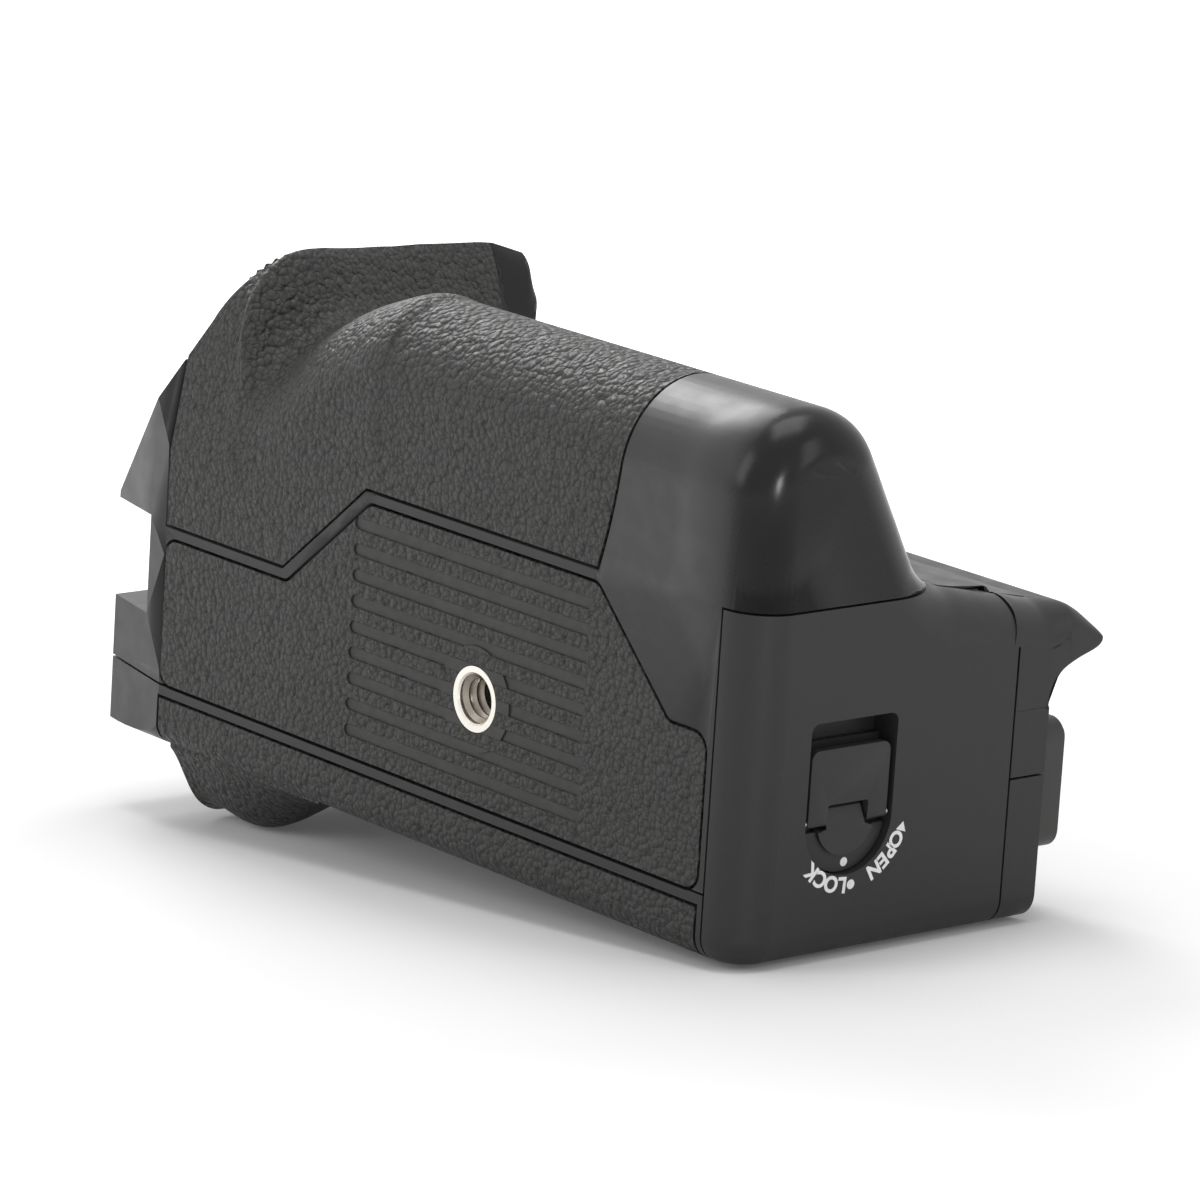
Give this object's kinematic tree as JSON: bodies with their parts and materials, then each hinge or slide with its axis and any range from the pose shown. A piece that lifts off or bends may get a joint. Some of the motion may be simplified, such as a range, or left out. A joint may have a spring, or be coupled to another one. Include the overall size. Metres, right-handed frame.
{
  "type": "camera battery grip",
  "caption": "Camera battery grip with a moulded vertical handhold, slide-out battery tray with key latch, tripod socket and attachment screw.",
  "frame": {"origin": "centre of the tripod socket's mouth in the base face", "axes": "+X along the grip to the battery door, +Y from the base face up to the camera, +Z out of the front of the grip; the part lies on its rear"},
  "size_m": [0.1335, 0.0592, 0.0793],
  "materials": {
    "shell_plastic": "fine speckled satin",
    "grip_rubber": "pebbled",
    "cap_rubber": "satin",
    "base_metal": "satin",
    "socket_steel": "bright",
    "screw_black": "satin",
    "bay_plastic": "plain",
    "board": "solder mask",
    "switch_plastic": "plain",
    "contact_metal": "plated",
    "battery_case": "fine texture",
    "control_plastic": "satin",
    "wheel_rubber": "ribbed"
  },
  "bodies": {
    "casing": {"front_shell": "shell_plastic", "rear_shell": "shell_plastic", "front_rubber": "grip_rubber", "rear_rubber": "grip_rubber", "bottom_rubber": "grip_rubber", "chassis_plate": "base_metal", "tripod_socket": "socket_steel", "battery_bay": "bay_plastic", "bay_contacts": "bay_plastic", "main_board": "board", "mating_plate": "base_metal", "camera_pad": "grip_rubber", "case_screws": "screw_black", "locating_pins": "socket_steel", "terminal_block": "switch_plastic", "terminal_contacts": "contact_metal", "strap_bar": "socket_steel", "slope_board": "board", "button_switches": "switch_plastic", "control_board": "board", "rear_dial_axle": "socket_steel", "stick_base": "bay_plastic"},
    "battery_tray": {"tray_frame": "bay_plastic", "door_seal": "grip_rubber", "tray_cover": "shell_plastic", "battery_rear": "battery_case", "battery_front": "battery_case", "latch_disk": "shell_plastic", "latch_bolt": "socket_steel", "key_pins": "socket_steel"},
    "key_flap": {"latch_key": "shell_plastic"},
    "screw_wheel": {"attachment_wheel": "wheel_rubber", "attachment_screw": "socket_steel"},
    "connector_cap": {"terminal_cap": "cap_rubber"},
    "shutter": {"shutter_button": "control_plastic"},
    "function_button": {"fn_button": "control_plastic"},
    "lock_lever": {"lock_ring": "control_plastic"},
    "front_command_dial": {"front_dial": "control_plastic"},
    "rear_command_dial": {"rear_dial": "control_plastic"},
    "focus_on_button": {"af_on_button": "control_plastic"},
    "exposure_lock_button": {"ae_lock_button": "control_plastic"},
    "menu_button": {"q_button": "control_plastic"},
    "stick_frame": {"stick_gimbal": "bay_plastic"},
    "stick": {"focus_stick": "control_plastic"}
  },
  "joints": [
    {"name": "tray_slide", "type": "slide", "parent": "casing", "child": "battery_tray", "axis": [1, 0, 0], "range_m": [0, 0.058]},
    {"name": "key_flip", "type": "hinge", "parent": "battery_tray", "child": "key_flap", "pos_m": [0.0511, 0.0174, -0.0048], "axis": [0, 1, 0], "range_deg": [0, 95]},
    {"name": "wheel_turn", "type": "hinge", "parent": "casing", "child": "screw_wheel", "pos_m": [-0.029, 0.0439, -0.0096], "axis": [0, 1, 0], "continuous": true},
    {"name": "cap_off", "type": "slide", "parent": "casing", "child": "connector_cap", "axis": [0, 1, 0], "range_m": [0, 0.012]},
    {"name": "shutter_press", "type": "slide", "parent": "casing", "child": "shutter", "axis": [0.8161, 0, -0.5779], "range_m": [0, 0.0012], "stiffness_N_per_m": 300},
    {"name": "function_press", "type": "slide", "parent": "casing", "child": "function_button", "axis": [0.8161, 0, -0.5779], "range_m": [0, 0.0006], "stiffness_N_per_m": 400},
    {"name": "lock_turn", "type": "hinge", "parent": "casing", "child": "lock_lever", "pos_m": [-0.07249, 0.027, 0.02365], "axis": [-0.8161, 0, 0.5779], "range_deg": [0, 40]},
    {"name": "front_dial_turn", "type": "hinge", "parent": "casing", "child": "front_command_dial", "pos_m": [-0.06157, 0.0146, 0.03908], "axis": [-0.8161, 0, 0.5779], "continuous": true},
    {"name": "rear_dial_turn", "type": "hinge", "parent": "casing", "child": "rear_command_dial", "pos_m": [-0.0715, 0.0404, -0.0162], "axis": [0, 1, 0], "continuous": true},
    {"name": "focus_on_press", "type": "slide", "parent": "casing", "child": "focus_on_button", "axis": [0, 0, 1], "range_m": [0, 0.0006], "stiffness_N_per_m": 400},
    {"name": "exposure_lock_press", "type": "slide", "parent": "casing", "child": "exposure_lock_button", "axis": [0, 0, 1], "range_m": [0, 0.0006], "stiffness_N_per_m": 400},
    {"name": "menu_press", "type": "slide", "parent": "casing", "child": "menu_button", "axis": [0, 0, 1], "range_m": [0, 0.0006], "stiffness_N_per_m": 400},
    {"name": "stick_tilt_x", "type": "hinge", "parent": "casing", "child": "stick_frame", "pos_m": [-0.0542, 0.0386, -0.0206], "axis": [1, 0, 0], "range_deg": [-8, 8], "stiffness_Nm_per_rad": 0.01},
    {"name": "stick_tilt_y", "type": "hinge", "parent": "stick_frame", "child": "stick", "pos_m": [-0.0542, 0.0386, -0.0206], "axis": [0, 1, 0], "range_deg": [-8, 8], "stiffness_Nm_per_rad": 0.01}
  ]
}
